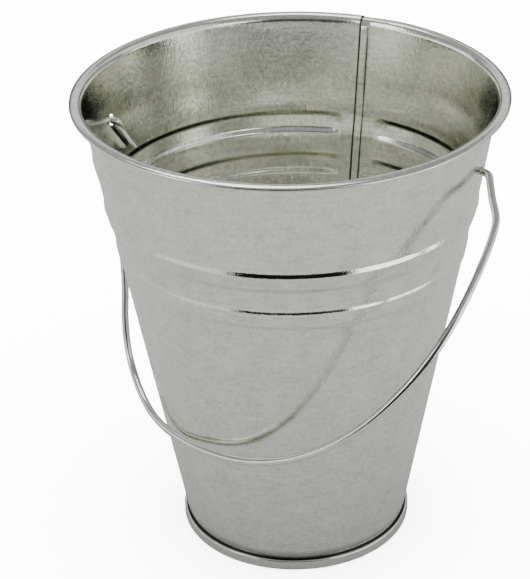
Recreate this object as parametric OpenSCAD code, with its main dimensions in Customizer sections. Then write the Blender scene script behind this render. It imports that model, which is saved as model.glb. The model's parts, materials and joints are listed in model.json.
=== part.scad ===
// Florist bucket: a tapered pail of galvanised sheet steel with two pressed rings, a rim
// curled round a wire, a lock seam down the back, a base held by a double seam, and one
// swinging wire handle hooked through two holes in the wall.
// Millimetres. The origin is the centre of the foot, on the ground; +Z is up. The handle's
// holes are on the X axis, the lock seam is at the back (+Y), and the handle is drawn
// hanging against the front (-Y).

/* [Bucket] */
// Overall diameter across the rolled rim
rim_diameter = 160; // [158:0.5:162]
// Overall height, from the ground to the top of the rim
bucket_height = 180.5; // [178:0.5:183]
// Outer diameter of the wall where it enters the base seam
foot_diameter = 86.3; // [80:0.1:92]
// Thickness of the galvanised sheet
sheet = 0.4; // [0.3:0.05:0.5]

/* [Wall] */
// Outer radius of the upper wall where it starts to flare into the rim
neck_radius = 75.3; // [75.1:0.01:75.5]
// Height at which the wall starts to flare into the rim
neck_height = 177.5; // [176.5:0.1:177.8]
// Growth in radius per millimetre of height, below the rings
lower_taper = 0.1863; // [0.18:0.0001:0.19]
// Growth in radius per millimetre of height, above the rings
upper_taper = 0.1692; // [0.165:0.0001:0.175]
// Height of the middle of the lower pressed ring
lower_ring_height = 121.5; // [115:0.5:123]
// How far the lower ring stands out
lower_ring_depth = 0.5; // [0.2:0.05:1]
// Height of the middle of the upper pressed ring
upper_ring_height = 138; // [134:0.5:142]
// How far the upper ring stands out
upper_ring_depth = 0.65; // [0.2:0.05:1]
// Half the height of a pressed ring
ring_half = 4.6; // [3:0.1:6]
// Angle left plain on each side of the lock seam, where the rings stop
ring_stop = 6; // [4:0.5:12]

/* [Rim] */
// Diameter of the wire inside the rim
rim_wire_diameter = 1.2; // [1:0.1:1.4]
// Clearance between the rim wire and the curl round it
rim_wire_gap = 0.1; // [0.05:0.01:0.2]
// Angle at which the curl ends under the wire, below horizontal
curl_end = 130; // [90:1:135]

/* [Base] */
// Height of the double seam at the foot
foot_seam_height = 4.2; // [4:0.1:5]
// Clearance between the layers of the double seam
foot_seam_gap = 0.12; // [0.1:0.01:0.14]
// Height of the underside of the base panel above the ground
base_recess = 4; // [3.5:0.1:6]
// Radius of the raised middle of the base panel
base_step_radius = 31; // [20:1:34]
// How far the middle of the base panel is raised
base_step = 0.9; // [0.3:0.1:1.5]

/* [Lock seam] */
// Direction of the lock seam, in degrees from +X towards +Y
lock_seam_angle = 87.05; // [85:0.05:95]
// Clearance between the layers of the lock seam
lock_seam_gap = 0.1; // [0.06:0.01:0.12]

/* [Handle] */
// Diameter of the handle wire
handle_wire = 3; // [2.5:0.1:3]
// Height of the handle's pivot holes
pivot_height = 159; // [158.5:0.1:159.5]
// Diameter of the handle's pivot holes
pivot_hole = 5; // [4.6:0.1:6]

/* [Hidden] */
$fn = 144;

// Rim curl: centre of the wire, and the two faces of the sheet round it.
curl_inner = rim_wire_diameter / 2 + rim_wire_gap;
curl_outer = curl_inner + sheet;
curl_r = rim_diameter / 2 - curl_outer;
curl_z = bucket_height - curl_outer;
// The flare meets the curl at this angle round the wire.
curl_start = 128;

// Base seam, from the wall outwards: wall, base hook, wall hook, seam wall.
wall_foot_r = foot_diameter / 2;
base_hook_r = wall_foot_r + foot_seam_gap;
wall_hook_r = base_hook_r + sheet + foot_seam_gap;
seam_wall_r = wall_hook_r + sheet + foot_seam_gap;
seam_outer_r = seam_wall_r + sheet;
fold_inner = foot_seam_gap + sheet / 2;
fold_outer = fold_inner + sheet;
wall_fold_r = wall_foot_r + fold_inner;
wall_fold_z = 1.2;
base_fold_r = base_hook_r + sheet + fold_inner;
base_fold_z = foot_seam_height - fold_outer;
wall_hook_top = base_fold_z - 0.45;
base_hook_end = wall_fold_z + 0.4;
// The base's inner upstand, pressed against the inside of the wall.
upstand_gap = 0.04;
upstand_outer = wall_foot_r - sheet - upstand_gap;
upstand_inner = upstand_outer - sheet;
channel_inner = 0.3;
channel_outer = channel_inner + sheet;
panel_corner = 0.6;

// Lock seam: four layers at one pitch, between the foot seam and the flare.
lock_pitch = sheet + lock_seam_gap;
lock_bottom = foot_seam_height + 0.8;
lock_top = neck_height - 1;
// Angles of the folds, from the seam's middle. The sheet from the left folds inwards at
// the right; the sheet from the right steps inwards, passes under and folds back.
lock_step = [-1.75, -1.45];
left_fold = [-1.35, -1.05];
right_fold = [1.05, 1.35];
lock_tip = 0.12;
slit = 0.6;
// Angle by which the plain part of the wall runs into the ringed part.
lap = 0.02;

function arc(c, r, a0, a1, n) =
    [for (i = [0:n]) let (a = a0 + (a1 - a0) * i / n) [c[0] + r * cos(a), c[1] + r * sin(a)]];
function reversed(list) = [for (i = [len(list) - 1:-1:0]) list[i]];
function smooth_step(u) = let (v = min(max(u, 0), 1)) v * v * (3 - 2 * v);

// Outer radius of the wall: two straight tapers that meet at the upper ring.
function lower_line(z) = wall_foot_r + lower_taper * (z - foot_seam_height);
function upper_line(z) = neck_radius - upper_taper * (neck_height - z);
function ring(z, middle, depth) =
    abs(z - middle) < ring_half ? depth * (1 + cos(180 * (z - middle) / ring_half)) / 2 : 0;
function plain_r(z) =
    let (u = smooth_step((z - upper_ring_height + ring_half) / (2 * ring_half)))
    (1 - u) * lower_line(z) + u * upper_line(z);
function ringed_r(z) =
    plain_r(z) + ring(z, lower_ring_height, lower_ring_depth)
    + ring(z, upper_ring_height, upper_ring_depth);
function wall_r(z, ringed) = ringed ? ringed_r(z) : plain_r(z);
function ring_heights(middle, n) = [for (i = [-n:n]) middle + ring_half * i / n];
function wall_heights(ringed) =
    concat(ringed ? ring_heights(lower_ring_height, 6) : [],
           ring_heights(upper_ring_height, ringed ? 6 : 3));

// Section of the whole wall sheet: hook at the foot, wall, flare, and curl round the wire.
module wall_section(ringed) {
    heights = concat([foot_seam_height], wall_heights(ringed), [neck_height]);
    outer_face = [for (z = heights) [wall_r(z, ringed), z]];
    inner_face = [for (z = reversed(heights)) [wall_r(z, ringed) - sheet, z]];
    fold = [wall_fold_r, wall_fold_z];
    wire = [curl_r, curl_z];
    polygon(concat(
        outer_face,
        arc(wire, curl_inner, curl_start, -curl_end, 28),
        arc(wire, curl_outer, -curl_end, curl_start, 28),
        inner_face,
        arc(fold, fold_outer, 180, 360, 10),
        [[wall_hook_r + sheet, wall_hook_top], [wall_hook_r, wall_hook_top]],
        arc(fold, fold_inner, 360, 180, 10)));
}

// A turned sector between two angles from +X.
module sector(from, to) {
    rotate([0, 0, from]) rotate_extrude(angle = to - from) children();
}

// A band that follows the plain wall, between two depths below its outer face.
module wall_band(depth_outer, depth_inner, bottom, top) {
    heights = concat([bottom], wall_heights(false), [top]);
    polygon(concat(
        [for (z = heights) [plain_r(z) - depth_outer, z]],
        [for (z = reversed(heights)) [plain_r(z) - depth_inner, z]]));
}

// A cut in the lock seam, from one layer's inner face to another layer's outer face.
module lock_cut(from, to, layer_outer, layer_inner) {
    depth_outer = layer_outer < 0 ? -slit : layer_outer * lock_pitch + sheet;
    sector(lock_seam_angle + from, lock_seam_angle + to)
        wall_band(depth_outer, layer_inner * lock_pitch, lock_bottom, lock_top);
}

module side_wall() {
    color("silver") difference() {
        union() {
            sector(lock_seam_angle + ring_stop, lock_seam_angle + 360 - ring_stop)
                wall_section(true);
            sector(lock_seam_angle - ring_stop - lap, lock_seam_angle + ring_stop + lap)
                wall_section(false);
            sector(lock_seam_angle + lock_step[0], lock_seam_angle + right_fold[1])
                wall_band(sheet / 2, 3 * lock_pitch + sheet, lock_bottom, lock_top);
        }
        // Groove between the two sheets, then the gaps between their layers.
        lock_cut(lock_step[1], left_fold[0], -1, 3);
        lock_cut(left_fold[1], right_fold[1] + slit, 0, 1);
        lock_cut(left_fold[1], left_fold[1] + lock_tip, 0, 2);
        lock_cut(left_fold[1], right_fold[0], 1, 2);
        lock_cut(right_fold[0] - lock_tip, right_fold[0], 1, 3);
        lock_cut(lock_step[1], right_fold[0], 2, 3);
        // Pivot holes for the handle.
        translate([0, 0, pivot_height]) rotate([0, 90, 0])
            cylinder(d = pivot_hole, h = 2 * rim_diameter, center = true);
    }
}

module rim_wire() {
    color("gray") rotate_extrude() translate([curl_r, curl_z])
        circle(d = rim_wire_diameter, $fn = 48);
}

// One pressed disc: raised middle, panel, upstand, channel under the wall, seam wall and hook.
module base_pan() {
    underside = base_recess;
    color("silver") rotate_extrude() polygon(concat(
        [[0, underside + base_step], [base_step_radius - 2, underside + base_step],
         [base_step_radius, underside]],
        arc([upstand_inner - panel_corner, underside - panel_corner], panel_corner, 90, 0, 6),
        arc([upstand_inner + channel_outer, channel_outer], channel_outer, 180, 270, 6),
        arc([seam_outer_r - channel_outer, channel_outer], channel_outer, 270, 360, 6),
        arc([base_fold_r, base_fold_z], fold_outer, 0, 180, 10),
        [[base_hook_r, base_hook_end], [base_hook_r + sheet, base_hook_end]],
        arc([base_fold_r, base_fold_z], fold_inner, 180, 0, 10),
        arc([seam_wall_r - channel_inner, channel_outer], channel_inner, 360, 270, 6),
        arc([upstand_outer + channel_inner, channel_outer], channel_inner, 270, 180, 6),
        arc([upstand_inner - panel_corner, underside - panel_corner],
            panel_corner + sheet, 0, 90, 6),
        [[base_step_radius, underside + sheet],
         [base_step_radius - 2, underside + base_step + sheet],
         [0, underside + base_step + sheet]]));
}

// Sealing compound in the fold of the base hook, on top of the wall's hook.
module base_seam_seal() {
    color("dimgray") rotate_extrude() polygon(concat(
        [[base_hook_r + sheet, wall_hook_top], [seam_wall_r, wall_hook_top]],
        arc([base_fold_r, base_fold_z], fold_inner, 0, 180, 10)));
}

// Sealing compound between the two folded edges of the lock seam.
module side_seam_seal() {
    color("dimgray")
        sector(lock_seam_angle + left_fold[1] + 2 * lock_tip,
               lock_seam_angle + right_fold[0] - 2 * lock_tip)
            wall_band(lock_pitch + sheet, 2 * lock_pitch, lock_bottom + 1, lock_top - 1);
}

// Handle route, right tail to left tail. Each point is [distance from the middle, distance
// from the pivot axis, lean in degrees forward of straight down]. The loop is twisted: its
// right leg leans out, and its left leg hangs beside the wall.
right_tail = [[66.6, 16, 32], [67.5, 11.5, 32], [68.3, 7, 32], [68.9, 3.6, 32],
              [69.9, 1, 32], [71.6, 0, 32]];
loop = [[72.6, 0, 50], [75.2, 1.1, 50], [76.6, 4.6, 50], [78.8, 10.5, 50.5],
        [81.4, 16.5, 51], [82.1, 22, 51.5], [81.3, 32, 51.5], [79.1, 44, 50],
        [75.6, 57, 48.5], [70, 70, 46], [61, 83.5, 42.5], [48.5, 97, 39],
        [33.5, 107.5, 36], [17.5, 114.2, 33], [0, 117.3, 30], [-18.5, 116.6, 26.7],
        [-33, 115, 22], [-46, 112, 16.6], [-56, 107, 11.5], [-63, 100.2, 7.5],
        [-67, 92, 5], [-69, 82, 3], [-70, 71, 0.5], [-72.5, 57, -4], [-76, 44, -9],
        [-80.4, 32, -13], [-82.1, 22, -15], [-81.4, 16.5, -16], [-78.8, 10.5, -17],
        [-76.6, 4.6, -18], [-75.2, 1.1, -18], [-72.6, 0, -18]];
left_tail = [[-71.6, 0, -33], [-69.9, 1, -33], [-68.9, 3.6, -33], [-68.3, 7, -33],
             [-67.5, 11.5, -33], [-66.6, 16, -33]];
route_steps = 4;
wire_sides = 12;

function at_pivot(p) = [p[0], -p[1] * sin(p[2]), pivot_height - p[1] * cos(p[2])];
// A smooth curve through the points of a route.
function spline(a, b, c, d, t) =
    0.5 * (2 * b + (c - a) * t + (2 * a - 5 * b + 4 * c - d) * t * t
           + (3 * b - a - 3 * c + d) * t * t * t);
function smooth_route(route) =
    let (last = len(route) - 1)
    concat([for (i = [0:last - 1]) for (k = [0:route_steps - 1])
               spline(i == 0 ? 2 * route[0] - route[1] : route[i - 1], route[i], route[i + 1],
                      i + 1 == last ? 2 * route[last] - route[last - 1] : route[i + 2],
                      k / route_steps)],
           [route[last]]);
function unit(v) = v / norm(v);

// A round tube along a list of points, with its ends at right angles to it. Its sides are
// turned from one ring to the next without twisting, starting from a fixed direction.
module tube(points, radius) {
    last = len(points) - 1;
    tangents = [for (i = [0:last])
        unit(points[min(i + 1, last)] - points[max(i - 1, 0)])];
    sides = [for (i = 0, v = unit(cross(tangents[0], [0.3, 1, 0.1]));
             i <= last;
             i = i + 1, v = i <= last ? unit(v - (v * tangents[i]) * tangents[i]) : v) v];
    rings = [for (i = [0:last]) for (k = [0:wire_sides - 1])
        let (a = 360 * k / wire_sides)
        points[i] + radius * (cos(a) * sides[i] + sin(a) * cross(tangents[i], sides[i]))];
    walls = [for (i = [0:last - 1]) for (k = [0:wire_sides - 1])
        let (a = i * wire_sides, b = a + wire_sides, n = (k + 1) % wire_sides)
        [a + k, b + k, b + n, a + n]];
    caps = [[for (k = [0:wire_sides - 1]) k],
            [for (k = [wire_sides - 1:-1:0]) last * wire_sides + k]];
    polyhedron(points = rings, faces = concat(walls, caps), convexity = 10);
}

// One length of wire: the loop, a straight pivot through each hole, and the two tails.
module bail() {
    bent = handle_wire / 2 - 0.01;
    color("lightgray") union() {
        tube([for (p = smooth_route(right_tail)) at_pivot(p)], bent);
        tube([for (p = smooth_route(loop)) at_pivot(p)], bent);
        tube([for (p = smooth_route(left_tail)) at_pivot(p)], bent);
        for (side = [-1, 1])
            translate([side * 72.1, 0, pivot_height]) rotate([0, 90, 0])
                cylinder(d = handle_wire, h = 1.6, center = true, $fn = 48);
    }
}

side_wall();
rim_wire();
base_pan();
base_seam_seal();
side_seam_seal();
bail();
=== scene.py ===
"""Looks of a small florist's bucket of galvanised sheet steel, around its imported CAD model.

The wall, the base and the handle are modelled again here as finely divided, smooth meshes
that stand for their CAD nodes. The rim wire and the sealing compound stay CAD nodes.
Everything is in metres, in the CAD model's frame: the origin is the centre of the foot, +Z is
up, the handle's holes are on the X axis and the lock seam is at the back, on +Y.
"""

import json
import math

import bpy
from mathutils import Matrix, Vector


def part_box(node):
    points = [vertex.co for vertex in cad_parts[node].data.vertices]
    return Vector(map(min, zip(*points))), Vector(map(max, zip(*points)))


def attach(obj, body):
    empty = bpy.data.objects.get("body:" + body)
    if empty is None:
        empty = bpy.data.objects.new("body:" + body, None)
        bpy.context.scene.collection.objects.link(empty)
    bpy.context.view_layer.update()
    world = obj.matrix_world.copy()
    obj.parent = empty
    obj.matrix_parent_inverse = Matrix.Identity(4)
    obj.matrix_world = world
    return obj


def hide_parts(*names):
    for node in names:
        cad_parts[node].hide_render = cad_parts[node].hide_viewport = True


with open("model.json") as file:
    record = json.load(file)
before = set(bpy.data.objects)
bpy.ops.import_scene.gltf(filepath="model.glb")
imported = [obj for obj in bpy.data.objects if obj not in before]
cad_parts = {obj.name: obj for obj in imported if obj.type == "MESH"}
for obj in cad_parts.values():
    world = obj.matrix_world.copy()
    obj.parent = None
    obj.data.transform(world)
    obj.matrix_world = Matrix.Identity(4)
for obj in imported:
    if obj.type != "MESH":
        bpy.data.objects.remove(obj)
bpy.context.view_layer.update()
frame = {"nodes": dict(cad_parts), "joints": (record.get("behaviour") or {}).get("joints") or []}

MM = 0.001

# Sizes read from the frame.
wall_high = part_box("side_wall")[1]
wire_low, wire_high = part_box("rim_wire")
rim_radius = wall_high.x
bucket_height = wall_high.z
seam_outer_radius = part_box("base_pan")[1].x
rim_wire_radius = (wire_high.z - wire_low.z) / 2
hinge = frame["joints"][0]
pivot_height = hinge["pos_m"][2]

# Sizes of the sheet and its forming. The roll is wider and the holes smaller than in the CAD.
sheet = 0.4 * MM
foot_radius = 43.15 * MM
foot_seam_height = 4.2 * MM
neck_radius = 75.3 * MM
neck_height = 177.5 * MM
lower_taper = 0.1863
upper_taper = 0.1692
lower_ring = (121.5 * MM, 0.5 * MM)
upper_ring = (138 * MM, 0.65 * MM)
ring_half = 4.6 * MM
ring_flank = 2.6 * MM
ring_stop = math.radians(6)
ring_fade = math.radians(3)
curl_inner = rim_wire_radius + 0.1 * MM
curl_outer = curl_inner + sheet
curl_spread = 1.05 * MM
curl_r = rim_radius - curl_outer - curl_spread
curl_z = bucket_height - curl_outer
curl_start = 162
curl_end = 130
roll_inner_edge = curl_r - 1.7 * MM
edge_finish_start = curl_r - 1.9 * MM
rim_step = 0.35 * MM
rim_step_fade = 15 * MM
pivot_hole = 4.4 * MM
seam_angle = math.radians(87.05)
seam_fine_zone = math.radians(12)
seam_height = 0.8 * MM
seam_crack = 1.75 * MM
# seam_crack_half and seam_crack_blur set the width and blur of the painted shade in the crack
# beside the fold.
seam_crack_half = 0.55 * MM
seam_crack_blur = 0.25 * MM
seam_fold_gap = 0.4 * MM
seam_fold_width = 0.3 * MM
seam_step = -1.65 * MM
seam_step_width = 0.8 * MM
crease_depth = 0.28 * MM
wave_height = 0.05 * MM
# foot_crease is how high the painted shade reaches above the foot's crease.
foot_crease = 0.5 * MM
inner_face = 0.85
base_recess = 4 * MM
base_step_radius = 31 * MM
base_step = 0.9 * MM
handle_wire = 3 * MM


# ---------------------------------------------------------------- modelling by hand

def deselect_all():
    if bpy.context.object and bpy.context.object.mode != "OBJECT":
        bpy.ops.object.mode_set(mode="OBJECT")
    bpy.ops.object.select_all(action="DESELECT")


def activate(piece):
    deselect_all()
    piece.select_set(True)
    bpy.context.view_layer.objects.active = piece


def draw_outline(name, points, angle):
    """A closed outline of (radius, height) points, standing at an angle round the Z axis."""
    deselect_all()
    places = [Vector((r * math.cos(angle), r * math.sin(angle), z)) for r, z in points]
    bpy.ops.mesh.primitive_plane_add(size=sheet, location=places[0])
    piece = bpy.context.object
    piece.name = name
    piece.data.name = name
    bpy.ops.object.transform_apply(location=True, rotation=False, scale=False)
    bpy.ops.object.mode_set(mode="EDIT")
    bpy.ops.mesh.select_all(action="SELECT")
    bpy.ops.mesh.merge(type="CENTER")
    for here, there in zip(places, places[1:]):
        bpy.ops.mesh.extrude_vertices_move(TRANSFORM_OT_translate={"value": there - here})
    bpy.ops.mesh.select_all(action="DESELECT")
    bpy.ops.object.mode_set(mode="OBJECT")
    piece.data.vertices[0].select = True
    piece.data.vertices[len(places) - 1].select = True
    bpy.ops.object.mode_set(mode="EDIT")
    bpy.ops.mesh.edge_face_add()
    bpy.ops.mesh.select_all(action="SELECT")
    return piece


def spin(steps, angle):
    bpy.ops.mesh.spin(steps=steps, angle=angle, center=(0, 0, 0), axis=(0, 0, 1))


def close_up(piece):
    """Merges doubles, points the faces outwards and leaves edit mode."""
    bpy.ops.mesh.select_all(action="SELECT")
    bpy.ops.mesh.remove_doubles(threshold=0.002 * MM)
    bpy.ops.mesh.normals_make_consistent(inside=False)
    bpy.ops.object.mode_set(mode="OBJECT")
    activate(piece)


def smooth(piece, degrees=35):
    activate(piece)
    bpy.ops.object.shade_smooth_by_angle(angle=math.radians(degrees))


def arc(centre, radius, start, end, steps):
    """Points round a centre, from one angle to another in degrees."""
    turns = [math.radians(start + (end - start) * i / steps) for i in range(steps + 1)]
    return [(centre[0] + radius * math.cos(a), centre[1] + radius * math.sin(a)) for a in turns]


def smooth_step(u):
    v = min(max(u, 0), 1)
    return v * v * (3 - 2 * v)


def between(start, end, steps):
    return [start + (end - start) * i / steps for i in range(steps)]


# ---------------------------------------------------------------- wall

def plain_radius(z):
    """Outer radius of the wall without its rings: two tapers that meet at the upper ring."""
    lower = foot_radius + lower_taper * (z - foot_seam_height)
    upper = neck_radius - upper_taper * (neck_height - z)
    u = smooth_step((z - upper_ring[0] + ring_half) / (2 * ring_half))
    return (1 - u) * lower + u * upper


def ring_bulge(z):
    """How far the pressed rings stand out at a height."""
    bulge = 0
    for middle, depth in (lower_ring, upper_ring):
        bulge += depth * smooth_step((ring_half - abs(z - middle)) / ring_flank)
    return bulge


def wall_heights():
    below = lower_ring[0] - ring_half
    web_low = lower_ring[0] + ring_half
    web_high = upper_ring[0] - ring_half
    above = upper_ring[0] + ring_half
    return (between(foot_seam_height, below, 26) + between(below, web_low, 28)
            + between(web_low, web_high, 4) + between(web_high, above, 28)
            + between(above, neck_height, 9))


def curl_arc(reach, start, end, steps):
    """Points round the rim's wire, on a roll pressed wider than it is high."""
    return [(curl_r + x * (reach + curl_spread), curl_z + y * reach)
            for x, y in arc((0, 0), 1, start, end, steps)]


def flare_radius(z, offset):
    """Radius of the wall turning outwards from neck to curl, a distance inside its outer face."""
    top_r, top_z = curl_arc(curl_inner + offset, curl_start, curl_start, 1)[0]
    straight = neck_radius - offset + upper_taper * (z - neck_height)
    miss = top_r - (neck_radius - offset + upper_taper * (top_z - neck_height))
    return straight + miss * ((z - neck_height) / (top_z - neck_height)) ** 2


def flare(offset):
    top_z = curl_arc(curl_inner + offset, curl_start, curl_start, 1)[0][1]
    return [(flare_radius(z, offset), z) for z in between(neck_height, top_z, 7)]


def wall_outline():
    """Section of the wall sheet: outer face, flare, curl round the wire, inner face, hook."""
    heights = wall_heights()
    outer = [(plain_radius(z) + ring_bulge(z), z) for z in heights]
    inner = [(r - sheet, z) for r, z in reversed(outer)]
    gap = 0.12 * MM
    fold_inner = gap + sheet / 2
    fold_middle = (foot_radius + fold_inner, 1.2 * MM)
    hook_top = 3.03 * MM
    hook_r = foot_radius + 2 * fold_inner
    return (outer + flare(0)
            + curl_arc(curl_inner, curl_start, -curl_end, 20)
            + curl_arc(curl_outer, -curl_end, curl_start, 40)
            + list(reversed(flare(sheet))) + inner
            + arc(fold_middle, fold_inner + sheet, 180, 360, 10)
            + [(hook_r + sheet, hook_top), (hook_r, hook_top)]
            + arc(fold_middle, fold_inner, 360, 180, 8))


def around(co):
    """Angle of a point from the lock seam, between -pi and pi; positive is anticlockwise."""
    angle = math.atan2(co.y, co.x) - seam_angle
    return (angle + math.pi) % (2 * math.pi) - math.pi


def set_radius(co, radius):
    scale = radius / math.hypot(co.x, co.y)
    co.x *= scale
    co.y *= scale


def stop_rings(co):
    """The rings fade out on each side of the lock seam, each ending in a small dimple."""
    away = abs(around(co))
    shown = smooth_step((away - ring_stop) / ring_fade)
    change = -ring_bulge(co.z) * (1 - shown)
    end = ring_stop + ring_fade / 2
    for middle, depth in (lower_ring, upper_ring):
        along = (away - end) * plain_radius(co.z) / (1.8 * MM)
        up = (co.z - middle) / (1.6 * MM)
        change += 0.35 * depth * math.exp(-along * along - up * up)
    return change


def seam_across(co):
    """Distance of a point from the middle of the lock seam, positive on the folded side."""
    return around(co) * math.hypot(co.x, co.y)


def in_crack(co):
    """1 in the crack beside the seam's fold and 0 away from it."""
    return smooth_step((seam_crack_half - abs(seam_across(co) - seam_crack)) / seam_crack_blur)


def seam_rise(co):
    """How far the lock seam's folded layers stand inwards from the inner face."""
    across = seam_across(co)
    fold = smooth_step((seam_crack - seam_fold_gap - across) / seam_fold_width + 0.5)
    step = smooth_step((across - seam_step) / seam_step_width + 0.5)
    top = smooth_step((bucket_height - 1.2 * MM - co.z) / (2 * MM))
    return seam_height * fold * step * top


def seam_groove(co):
    """The narrow crease that the lock seam leaves outside."""
    across = seam_across(co) / (0.22 * MM)
    return -crease_depth * math.exp(-across * across)


def hand_waves(co):
    """Slight unevenness of a thin rolled sheet, nothing at the foot and the rim."""
    a = around(co)
    held = math.sin(math.pi * min(max((co.z - foot_seam_height) / neck_height, 0), 1))
    wave = math.sin(3 * a + 0.6 + 14 * co.z) + 0.6 * math.sin(7 * a + 2.1 - 31 * co.z)
    wave += 0.35 * math.sin(13 * a + 0.4 + 57 * co.z)
    return wave_height * held * wave


def rim_drop(co):
    """The rim lies lower on one side of the lock seam, where its sheet is the under one."""
    across = seam_across(co)
    under = smooth_step((seam_crack - across) / (0.4 * MM) + 0.5)
    return rim_step * under * smooth_step(1 + across / rim_step_fade)


def is_inside(co, radius):
    """Whether a point is on the inner face of the wall sheet, below the curl."""
    if co.z <= neck_height:
        return radius < plain_radius(co.z) + ring_bulge(co.z) - inner_face * sheet
    outer = flare_radius(co.z, 0)
    return radius < outer + inner_face * (flare_radius(co.z, sheet) - outer)


def shape_wall(piece):
    """Moves the wall's points for the ends of the rings, the lock seam and the sheet's waves."""
    for vertex in piece.data.vertices:
        co = vertex.co
        radius = math.hypot(co.x, co.y)
        if co.z < foot_seam_height - 0.01 * MM:
            continue
        if co.z > neck_height and radius > roll_inner_edge:
            co.z -= rim_drop(co)
            continue
        inside = is_inside(co, radius)
        change = -seam_rise(co) if inside else seam_groove(co)
        if co.z <= neck_height:
            change += stop_rings(co) + hand_waves(co)
        set_radius(co, radius + change)


def mark_crevice_shade(piece):
    """An attribute for painted shade, high in the lock seam's crack and creases and at the foot's
    crease.
    """
    mark = piece.data.attributes.new("crevice_shade", "FLOAT", "POINT")
    for vertex, value in zip(piece.data.vertices, mark.data):
        co = vertex.co
        # Painted shade at the foot's crease, fading out upwards.
        low = 0.9 * smooth_step(1 - (co.z - foot_seam_height) / foot_crease)
        beside = in_crack(co)
        unshaped = math.hypot(co.x, co.y) - stop_rings(co) - hand_waves(co)
        # Outside, the lock seam's crease gets a narrow band of painted shade.
        if co.z < neck_height and not is_inside(co, unshaped):
            beside = math.exp(-(seam_across(co) / (0.3 * MM)) ** 2)
        value.value = max(low, beside)


def cut_pivot_holes(piece):
    deselect_all()
    bpy.ops.mesh.primitive_cylinder_add(
        vertices=48, radius=pivot_hole / 2, depth=2.2 * rim_radius,
        location=(0, 0, pivot_height), rotation=(0, math.pi / 2, 0))
    drill = bpy.context.object
    activate(piece)
    cut = piece.modifiers.new("pivot holes", "BOOLEAN")
    cut.operation = "DIFFERENCE"
    cut.solver = "EXACT"
    cut.object = drill
    bpy.ops.object.modifier_apply(modifier=cut.name)
    bpy.data.objects.remove(drill)


def make_wall():
    """The sheet, spun clockwise seen from above, with finer steps across the lock seam."""
    start = seam_angle - seam_fine_zone / 2
    piece = draw_outline("wall_sheet", wall_outline(), start)
    spin(174, 2 * math.pi - seam_fine_zone)
    spin(72, seam_fine_zone)
    close_up(piece)
    shape_wall(piece)
    cut_pivot_holes(piece)
    # Marks where the colour gets painted shade in the crack and the creases.
    mark_crevice_shade(piece)
    smooth(piece, 40)
    return piece


# ---------------------------------------------------------------- base

def base_outline():
    """Section of the base disc: raised middle, panel, channel under the wall, hook over it."""
    gap = 0.12 * MM
    hook_r = foot_radius + gap
    seam_wall_r = hook_r + 2 * (sheet + gap)
    fold_inner = gap + sheet / 2
    fold_outer = fold_inner + sheet
    fold_middle = (hook_r + sheet + fold_inner, foot_seam_height - fold_outer)
    upstand = foot_radius - sheet - 0.04 * MM - sheet
    corner = 0.6 * MM
    channel = 0.3 * MM
    low = base_recess
    high = base_recess + base_step
    corner_middle = (upstand - corner, low - corner)
    bottom = channel + sheet
    return ([(0, high), (10 * MM, high), (20 * MM, high), (base_step_radius - 2.4 * MM, high)]
            + [(base_step_radius - 2 * MM + 2 * MM * t, high - base_step * smooth_step(t))
               for t in (0, 0.25, 0.5, 0.75, 1)]
            + [(base_step_radius + 3 * MM, low)]
            + arc(corner_middle, corner, 90, 0, 6)
            + arc((upstand + bottom, bottom), bottom, 180, 270, 8)
            + arc((seam_outer_radius - bottom, bottom), bottom, 270, 360, 10)
            + [(seam_outer_radius, foot_seam_height * 0.55)]
            + arc(fold_middle, fold_outer, 0, 180, 14)
            + [(hook_r, 1.6 * MM), (hook_r + sheet, 1.6 * MM)]
            + arc(fold_middle, fold_inner, 180, 0, 10)
            + arc((seam_wall_r - channel, bottom), channel, 360, 270, 5)
            + arc((upstand + sheet + channel, bottom), channel, 270, 180, 5)
            + arc(corner_middle, corner + sheet, 0, 90, 6)
            + [(base_step_radius + 3 * MM, low + sheet)]
            + [(base_step_radius - 2 * MM * t, low + sheet + base_step * smooth_step(t))
               for t in (0, 0.25, 0.5, 0.75, 1)]
            + [(20 * MM, high + sheet), (10 * MM, high + sheet), (0, high + sheet)])


def make_base():
    piece = draw_outline("base_disc", base_outline(), 0)
    spin(180, 2 * math.pi)
    close_up(piece)
    smooth(piece, 40)
    return piece


# ---------------------------------------------------------------- handle

# The handle's route, right tail to left tail, as in the CAD source: distance from the middle
# and from the pivot axis in millimetres, and lean in degrees forward of straight down.
handle_points = [
    (66.6, 16, 32), (67.5, 11.5, 32), (68.3, 7, 32), (68.9, 3.6, 32), (69.9, 1, 32),
    (71.6, 0, 32),
    (72.6, 0, 50), (75.2, 1.1, 50), (76.6, 4.6, 50), (78.8, 10.5, 50.5), (81.4, 16.5, 51),
    (82.1, 22, 51.5), (81.3, 32, 51.5), (79.1, 44, 50), (75.6, 57, 48.5), (70, 70, 46),
    (61, 83.5, 42.5), (48.5, 97, 39), (33.5, 107.5, 36), (17.5, 114.2, 33), (0, 117.3, 30),
    (-18.5, 116.6, 26.7), (-33, 115, 22), (-46, 112, 16.6), (-56, 107, 11.5),
    (-63, 100.2, 7.5), (-67, 92, 5), (-69, 82, 3), (-70, 71, 0.5), (-72.5, 57, -4),
    (-76, 44, -9), (-80.4, 32, -13), (-82.1, 22, -15), (-81.4, 16.5, -16),
    (-78.8, 10.5, -17), (-76.6, 4.6, -18), (-75.2, 1.1, -18), (-72.6, 0, -18),
    (-71.6, 0, -33), (-69.9, 1, -33), (-68.9, 3.6, -33), (-68.3, 7, -33),
    (-67.5, 11.5, -33), (-66.6, 16, -33)]


def at_pivot(across, reach, lean):
    turn = math.radians(lean)
    return Vector((across * MM, -reach * MM * math.sin(turn),
                   pivot_height - reach * MM * math.cos(turn)))


def spline_point(a, b, c, d, t):
    return 0.5 * (2 * b + (c - a) * t + (2 * a - 5 * b + 4 * c - d) * t * t
                  + (3 * b - a - 3 * c + d) * t * t * t)


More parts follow.
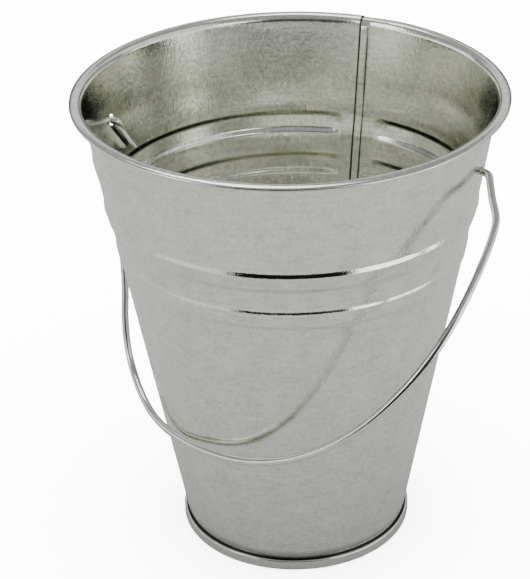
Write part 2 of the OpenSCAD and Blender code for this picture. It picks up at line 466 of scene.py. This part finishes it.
def handle_route(steps):
    """Points of a smooth curve through the handle's route."""
    knots = [at_pivot(*p) for p in handle_points]
    knots = [2 * knots[0] - knots[1]] + knots + [2 * knots[-1] - knots[-2]]
    route = []
    for i in range(1, len(knots) - 2):
        route += [spline_point(*knots[i - 1:i + 3], k / steps) for k in range(steps)]
    return route + [knots[-2]]


def make_handle():
    route = handle_route(6)
    deselect_all()
    bpy.ops.curve.primitive_nurbs_path_add()
    wire = bpy.context.object
    wire.name = "wire_handle"
    wire.data.name = "wire_handle"
    wire.data.splines.clear()
    line = wire.data.splines.new("POLY")
    line.points.add(len(route) - 1)
    for point, place in zip(line.points, route):
        point.co = (*place, 1)
    wire.data.bevel_depth = handle_wire / 2 - 0.03 * MM
    wire.data.bevel_resolution = 5
    wire.data.use_fill_caps = True
    bpy.ops.object.convert(target="MESH")
    bpy.ops.object.mode_set(mode="EDIT")
    close_up(wire)
    smooth(wire, 50)
    return wire


# ---------------------------------------------------------------- shader groups

def new_group(name, inputs, outputs):
    group = bpy.data.node_groups.new(name, "ShaderNodeTree")
    for label, value in inputs:
        socket = group.interface.new_socket(label, in_out="INPUT", socket_type="NodeSocketFloat")
        socket.default_value = value
    for label in outputs:
        group.interface.new_socket(label, in_out="OUTPUT", socket_type="NodeSocketFloat")
    start = group.nodes.new("NodeGroupInput")
    end = group.nodes.new("NodeGroupOutput")
    return group, start, end


def math_node(tree, operation, first, second=None):
    node = tree.nodes.new("ShaderNodeMath")
    node.operation = operation
    for socket, value in zip(node.inputs, (first, second)):
        if value is None:
            continue
        if isinstance(value, (int, float)):
            socket.default_value = value
        else:
            tree.links.new(value, socket)
    return node.outputs[0]


def noise_node(tree, vector, scale, detail, roughness=0.5):
    node = tree.nodes.new("ShaderNodeTexNoise")
    tree.links.new(vector, node.inputs["Vector"])
    if isinstance(scale, (int, float)):
        node.inputs["Scale"].default_value = scale
    else:
        tree.links.new(scale, node.inputs["Scale"])
    node.inputs["Detail"].default_value = detail
    node.inputs["Roughness"].default_value = roughness
    return node.outputs["Fac"]


def wrapped_place(tree):
    """Angle round the Z axis and height. The angle's jump is at the back, on +Y."""
    place = tree.nodes.new("ShaderNodeTexCoord").outputs["Object"]
    parts = tree.nodes.new("ShaderNodeSeparateXYZ")
    tree.links.new(place, parts.inputs[0])
    back = math_node(tree, "MULTIPLY", parts.outputs["Y"], -1.0)
    turn = math_node(tree, "ARCTAN2", parts.outputs["X"], back)
    return turn, parts.outputs["Z"]


def rolling_grain_group():
    """Fine streaks of a rolled sheet wrapped round the Z axis: fine round it, long up it."""
    group, start, end = new_group(
        "rolling_grain", [("Around", 1500.0), ("Up", 260.0)], ["Grain"])
    turn, height = wrapped_place(group)
    arc_length = math_node(group, "MULTIPLY", turn, 0.06)
    u = math_node(group, "MULTIPLY", arc_length, start.outputs["Around"])
    v = math_node(group, "MULTIPLY", height, start.outputs["Up"])
    join = group.nodes.new("ShaderNodeCombineXYZ")
    group.links.new(u, join.inputs["X"])
    group.links.new(v, join.inputs["Y"])
    group.links.new(noise_node(group, join.outputs[0], 1.0, 3.0, 0.6), end.inputs["Grain"])
    return group


def zinc_bloom_group():
    """Soft patches of a hot-dipped zinc coat."""
    group, start, end = new_group("zinc_bloom", [("Patch Scale", 70.0)], ["Patches"])
    place = group.nodes.new("ShaderNodeTexCoord").outputs["Object"]
    patches = noise_node(group, place, start.outputs["Patch Scale"], 3.0, 0.6)
    group.links.new(patches, end.inputs["Patches"])
    return group


def place_group(tree, group, **values):
    node = tree.nodes.new("ShaderNodeGroup")
    node.node_tree = group
    for label, value in values.items():
        node.inputs[label.replace("_", " ")].default_value = value
    return node


def spread(tree, value, low, high):
    """Maps a value from 0.25..0.75 to low..high."""
    node = tree.nodes.new("ShaderNodeMapRange")
    tree.links.new(value, node.inputs["Value"])
    node.inputs["From Min"].default_value = 0.25
    node.inputs["From Max"].default_value = 0.75
    node.inputs["To Min"].default_value = low
    node.inputs["To Max"].default_value = high
    return node.outputs["Result"]


def blend_colours(tree, factor, first, second):
    node = tree.nodes.new("ShaderNodeMix")
    node.data_type = "RGBA"
    tree.links.new(factor, node.inputs["Factor"])
    node.inputs["A"].default_value = (*first, 1)
    node.inputs["B"].default_value = (*second, 1)
    return node.outputs["Result"]


def bump(tree, height, distance, below=None):
    node = tree.nodes.new("ShaderNodeBump")
    node.inputs["Strength"].default_value = 1
    node.inputs["Distance"].default_value = distance
    tree.links.new(height, node.inputs["Height"])
    if below is not None:
        tree.links.new(below, node.inputs["Normal"])
    return node.outputs["Normal"]


def new_material(name):
    material = bpy.data.materials.new(name)
    material.use_nodes = True
    return material, material.node_tree, material.node_tree.nodes["Principled BSDF"]


# ---------------------------------------------------------------- materials

grain_group = rolling_grain_group()
bloom_group = zinc_bloom_group()


def paint_crevice_shade(tree, colour):
    """Painted shade: darkens the colour in the seam's crack and the creases, where the piece's
    shade attribute is high.
    """
    crevice_shade = tree.nodes.new("ShaderNodeAttribute")
    crevice_shade.attribute_name = "crevice_shade"
    node = tree.nodes.new("ShaderNodeMix")
    node.data_type = "RGBA"
    tree.links.new(crevice_shade.outputs["Fac"], node.inputs["Factor"])
    tree.links.new(colour, node.inputs["A"])
    # Near-black colour of the painted shade in the crack and the creases.
    node.inputs["B"].default_value = (0.04, 0.043, 0.035, 1)
    return node.outputs["Result"]


def weighted_sum(tree, *parts):
    total = 0.0
    for value, weight in parts:
        total = math_node(tree, "ADD", math_node(tree, "MULTIPLY", value, weight), total)
    return total


def galvanised_sheet():
    material, tree, shader = new_material("galvanised_sheet")
    shader.inputs["Metallic"].default_value = 1
    grain = place_group(tree, grain_group, Around=1500.0, Up=420.0).outputs["Grain"]
    along = place_group(tree, grain_group, Around=90.0, Up=900.0).outputs["Grain"]
    streaks = place_group(tree, grain_group, Around=160.0, Up=28.0).outputs["Grain"]
    bloom = place_group(tree, bloom_group, Patch_Scale=110.0)
    speckle = place_group(tree, bloom_group, Patch_Scale=620.0)
    tone = weighted_sum(tree, (bloom.outputs["Patches"], 0.2), (along, 0.25), (grain, 0.25),
                        (speckle.outputs["Patches"], 0.3))
    colour = blend_colours(tree, spread(tree, tone, -0.5, 1.5),
                           (0.62, 0.628, 0.57), (0.94, 0.952, 0.864))
    # Painted shade in the crack and the creases darkens the sheet's colour.
    tree.links.new(paint_crevice_shade(tree, colour), shader.inputs["Base Color"])
    rough = weighted_sum(tree, (grain, 0.11), (bloom.outputs["Patches"], 0.09))
    tree.links.new(rough, shader.inputs["Roughness"])
    normal = bump(tree, streaks, 0.06 * MM)
    normal = bump(tree, grain, 0.06 * MM, normal)
    normal = bump(tree, speckle.outputs["Patches"], 0.03 * MM, normal)
    tree.links.new(normal, shader.inputs["Normal"])
    return material


def rolled_edge():
    """The sheet where it is curled or folded, with fine lines along the edge."""
    material, tree, shader = new_material("rolled_edge")
    shader.inputs["Metallic"].default_value = 1
    lines = place_group(tree, grain_group, Around=90.0, Up=5200.0).outputs["Grain"]
    grain = place_group(tree, grain_group, Around=900.0, Up=900.0).outputs["Grain"]
    tone = weighted_sum(tree, (lines, 0.5), (grain, 0.5))
    colour = blend_colours(tree, spread(tree, tone, 0.0, 1.0),
                           (0.56, 0.565, 0.53), (0.88, 0.887, 0.84))
    # Painted shade in the crack and the creases darkens the edge's colour.
    tree.links.new(paint_crevice_shade(tree, colour), shader.inputs["Base Color"])
    tree.links.new(spread(tree, lines, 0.13, 0.24), shader.inputs["Roughness"])
    normal = bump(tree, lines, 0.03 * MM)
    normal = bump(tree, grain, 0.03 * MM, normal)
    tree.links.new(normal, shader.inputs["Normal"])
    return material


def drawn_wire():
    material, tree, shader = new_material("drawn_wire")
    shader.inputs["Metallic"].default_value = 1
    bloom = place_group(tree, bloom_group, Patch_Scale=240.0)
    patches = spread(tree, bloom.outputs["Patches"], 0.0, 1.0)
    colour = blend_colours(tree, patches, (0.66, 0.665, 0.64), (0.8, 0.805, 0.78))
    tree.links.new(colour, shader.inputs["Base Color"])
    tree.links.new(spread(tree, bloom.outputs["Patches"], 0.1, 0.2), shader.inputs["Roughness"])
    tree.links.new(bump(tree, bloom.outputs["Patches"], 0.02 * MM), shader.inputs["Normal"])
    return material


def sealing_compound():
    material, tree, shader = new_material("sealing_compound")
    bloom = place_group(tree, bloom_group, Patch_Scale=500.0)
    patches = spread(tree, bloom.outputs["Patches"], 0.0, 1.0)
    colour = blend_colours(tree, patches, (0.05, 0.05, 0.05), (0.09, 0.09, 0.085))
    tree.links.new(colour, shader.inputs["Base Color"])
    tree.links.new(spread(tree, bloom.outputs["Patches"], 0.6, 0.75), shader.inputs["Roughness"])
    tree.links.new(bump(tree, patches, 0.05 * MM), shader.inputs["Normal"])
    return material


def give(piece, *materials):
    piece.data.materials.clear()
    for material in materials:
        piece.data.materials.append(material)


def mark_faces(piece, index, chosen):
    for face in piece.data.polygons:
        if chosen(face.center):
            face.material_index = index


# ---------------------------------------------------------------- pieces

def build_pieces():
    sheet_zinc = galvanised_sheet()
    edge_zinc = rolled_edge()
    wire_zinc = drawn_wire()
    compound = sealing_compound()

    wall = make_wall()
    give(wall, sheet_zinc, edge_zinc)
    mark_faces(wall, 1, lambda c: math.hypot(c.x, c.y) > edge_finish_start
               and c.z > curl_z - curl_outer)
    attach(wall, "bucket")
    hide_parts("side_wall")

    base = make_base()
    give(base, sheet_zinc, edge_zinc)
    mark_faces(base, 1, lambda c: math.hypot(c.x, c.y) > foot_radius)
    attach(base, "bucket")
    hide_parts("base_pan")

    handle = make_handle()
    give(handle, wire_zinc)
    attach(handle, "handle")
    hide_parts("bail")

    give(frame["nodes"]["rim_wire"], wire_zinc)
    give(frame["nodes"]["base_seam_seal"], compound)
    give(frame["nodes"]["side_seam_seal"], compound)


# ---------------------------------------------------------------- camera, floor and light

def make_camera():
    data = bpy.data.cameras.new("camera")
    data.sensor_fit = "HORIZONTAL"
    data.sensor_width = 36
    data.lens = 144.48
    data.clip_start = 0.01
    camera = bpy.data.objects.new("camera", data)
    bpy.context.scene.collection.objects.link(camera)
    camera.location = (0.2472, -0.6648, 0.4874)
    aim = Vector((-0.0099, -0.0037, 0.0987)) - camera.location
    camera.rotation_euler = aim.to_track_quat("-Z", "Y").to_euler()
    camera.rotation_euler.rotate_axis("Z", -0.0230)
    bpy.context.scene.camera = camera


def make_floor():
    """A pale floor. It looks white to the camera and grey in the metal's reflections."""
    deselect_all()
    bpy.ops.mesh.primitive_plane_add(size=12, location=(0, 0, 0))
    floor = bpy.context.object
    floor.name = "floor"
    material, tree, shader = new_material("pale_floor")
    view = tree.nodes.new("ShaderNodeLightPath")
    colour = blend_colours(tree, view.outputs["Is Camera Ray"], (0.048,) * 3, (0.93,) * 3)
    tree.links.new(colour, shader.inputs["Base Color"])
    shader.inputs["Roughness"].default_value = 0.9
    shader.inputs["Specular IOR Level"].default_value = 0.1
    give(floor, material)


def softbox(name, place, aim, size, power):
    data = bpy.data.lights.new(name, "AREA")
    data.shape = "RECTANGLE"
    data.size = size[0]
    data.size_y = size[1]
    data.energy = power
    lamp = bpy.data.objects.new(name, data)
    bpy.context.scene.collection.objects.link(lamp)
    lamp.location = place
    lamp.rotation_euler = (Vector(aim) - Vector(place)).to_track_quat("-Z", "Y").to_euler()


def make_world(plain, mirrored):
    """An even white room, darker where the metal mirrors it than where it lights the floor."""
    world = bpy.data.worlds.new("studio")
    world.use_nodes = True
    tree = world.node_tree
    backdrop = tree.nodes["Background"]
    view = tree.nodes.new("ShaderNodeLightPath")
    strength = tree.nodes.new("ShaderNodeMapRange")
    strength.inputs["To Min"].default_value = plain
    strength.inputs["To Max"].default_value = mirrored
    tree.links.new(view.outputs["Is Glossy Ray"], strength.inputs["Value"])
    backdrop.inputs["Color"].default_value = (1, 1, 1, 1)
    tree.links.new(strength.outputs["Result"], backdrop.inputs["Strength"])
    bpy.context.scene.world = world


panel_middle = 0.15


def panel(name, distance, sides, heights, brightness):
    """A curved studio panel round the object that shows only in reflections. Its sides are
    compass angles in degrees from the front, -Y, towards +X; its heights are elevations."""
    deselect_all()
    across = max(2, round(abs(sides[1] - sides[0]) / 6))
    bpy.ops.mesh.primitive_grid_add(x_subdivisions=across, y_subdivisions=4, size=1)
    board = bpy.context.object
    board.name = name
    for vertex in board.data.vertices:
        turn = math.radians(sides[0] + (sides[1] - sides[0]) * (vertex.co.x + 0.5))
        rise = math.radians(heights[0] + (heights[1] - heights[0]) * (vertex.co.y + 0.5))
        vertex.co = (distance * math.sin(turn) * math.cos(rise),
                     -distance * math.cos(turn) * math.cos(rise),
                     panel_middle + distance * math.sin(rise))
    material = bpy.data.materials.new(name)
    material.use_nodes = True
    nodes = material.node_tree.nodes
    nodes.clear()
    glow = nodes.new("ShaderNodeEmission")
    glow.inputs["Color"].default_value = (1, 1, 1, 1)
    glow.inputs["Strength"].default_value = brightness
    out = nodes.new("ShaderNodeOutputMaterial")
    material.node_tree.links.new(glow.outputs[0], out.inputs["Surface"])
    give(board, material)
    board.visible_camera = False
    board.visible_diffuse = False
    board.visible_shadow = False


def make_light():
    """An even room with bright panels, and dark ones in front, that show in the metal only."""
    make_world(16, 0.4)
    panel("left_panel", 0.9, (-102, -30), (-3, 14), 1.7)
    panel("left_low_panel", 0.36, (-56, -16), (-23, -8), 1.1)
    panel("right_panel", 0.9, (50, 122), (-3, 16), 1.4)
    panel("right_low_panel", 0.36, (54, 106), (-23, -5), 3.2)
    panel("left_high_panel", 0.9, (-50, -22), (15, 34), 3.0)
    panel("right_high_panel", 0.9, (42, 66), (17, 26), 3.0)
    panel("right_back_panel", 0.9, (68, 158), (18, 36), 1.05)
    panel("back_panel_low", 0.95, (162, 238), (-4, 19), 0.2)
    panel("back_panel_high", 0.95, (162, 238), (20, 31), 1.15)
    panel("front_flag_low", 0.37, (-12, 52), (-23, -2), 0.01)
    panel("front_flag_middle", 0.38, (-12, 52), (-2, 17), 0.08)
    panel("front_flag_high", 0.4, (-20, 40), (17, 27), 0.06)
    panel("front_flag_top", 0.4, (-20, 40), (27, 36), 0.3)
    softbox("softbox_top", (-0.3, 0.25, 1.3), (0, 0, 0.1), (0.8, 0.8), 7)


make_camera()
make_floor()
make_light()
build_pieces()
